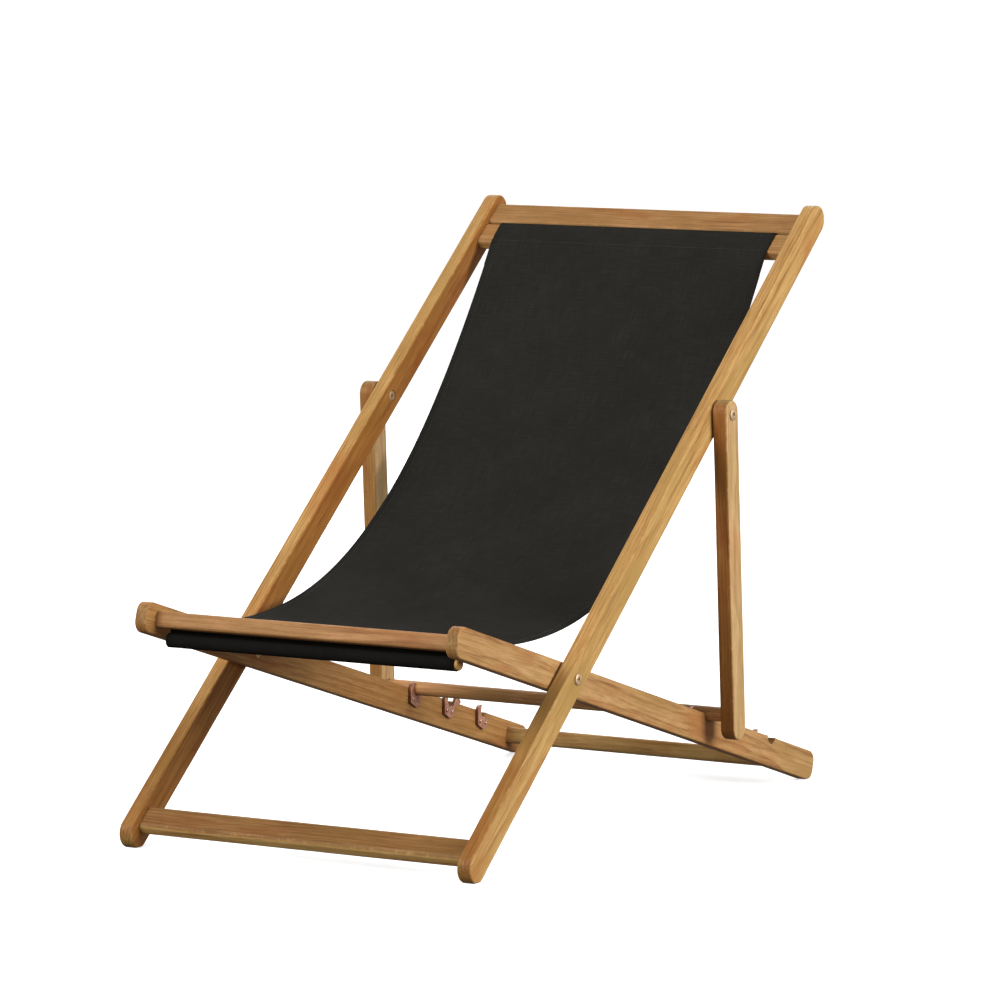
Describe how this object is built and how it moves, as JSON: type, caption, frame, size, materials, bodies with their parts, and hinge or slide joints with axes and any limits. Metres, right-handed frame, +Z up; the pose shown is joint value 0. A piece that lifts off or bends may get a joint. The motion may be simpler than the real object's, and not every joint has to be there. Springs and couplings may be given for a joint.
{
  "type": "folding deck chair",
  "caption": "Wooden deck chair with two crossing frames, a prop frame that drops into hooks, and a hung canvas sling seat.",
  "frame": {"origin": "on the floor, midway between the sides and midway between the front of the front feet and the back of the rear feet", "axes": "+Z up, the sitter faces -Y, +X to the side that is on the left of a sitter"},
  "size_m": [0.6158, 1.0626, 0.8574],
  "materials": {
    "wood": "oiled, satin",
    "canvas": "matte plain weave",
    "hooks": "copper toned, satin",
    "bolts": "pale, satin"
  },
  "bodies": {
    "back_frame": {"back_rail_left": "wood", "back_rail_right": "wood", "top_crossbar": "wood", "sling_bar": "wood", "foot_crossbar": "wood", "top_dowel": "wood", "pivot_bolt_left": "bolts", "pivot_bolt_right": "bolts", "pivot_washer_left": "bolts", "pivot_washer_right": "bolts", "prop_washer_left": "bolts", "prop_washer_right": "bolts", "prop_nut_left": "bolts", "prop_nut_right": "bolts", "sling": "canvas"},
    "seat_frame": {"seat_rail_left": "wood", "seat_rail_right": "wood", "front_crossbar": "wood", "rear_crossbar": "wood", "front_dowel": "wood", "pivot_nut_left": "bolts", "pivot_nut_right": "bolts", "hook_left_1": "hooks", "hook_left_1_screw_a": "bolts", "hook_left_1_screw_b": "bolts", "hook_left_2": "hooks", "hook_left_2_screw_a": "bolts", "hook_left_2_screw_b": "bolts", "hook_left_3": "hooks", "hook_left_3_screw_a": "bolts", "hook_left_3_screw_b": "bolts", "hook_right_1": "hooks", "hook_right_1_screw_a": "bolts", "hook_right_1_screw_b": "bolts", "hook_right_2": "hooks", "hook_right_2_screw_a": "bolts", "hook_right_2_screw_b": "bolts", "hook_right_3": "hooks", "hook_right_3_screw_a": "bolts", "hook_right_3_screw_b": "bolts"},
    "prop_frame": {"prop_strut_left": "wood", "prop_strut_right": "wood", "prop_bar": "wood", "prop_bolt_left": "bolts", "prop_bolt_right": "bolts"}
  },
  "joints": [
    {"name": "seat_fold", "type": "hinge", "parent": "back_frame", "child": "seat_frame", "pos_m": [0, -0.24221, 0.24182], "axis": [1, 0, 0], "range_deg": [-60, 0], "deforming": ["sling"]},
    {"name": "prop_swing", "type": "hinge", "parent": "back_frame", "child": "prop_frame", "pos_m": [0, 0.16077, 0.5752], "axis": [1, 0, 0], "range_deg": [0, 120]}
  ]
}
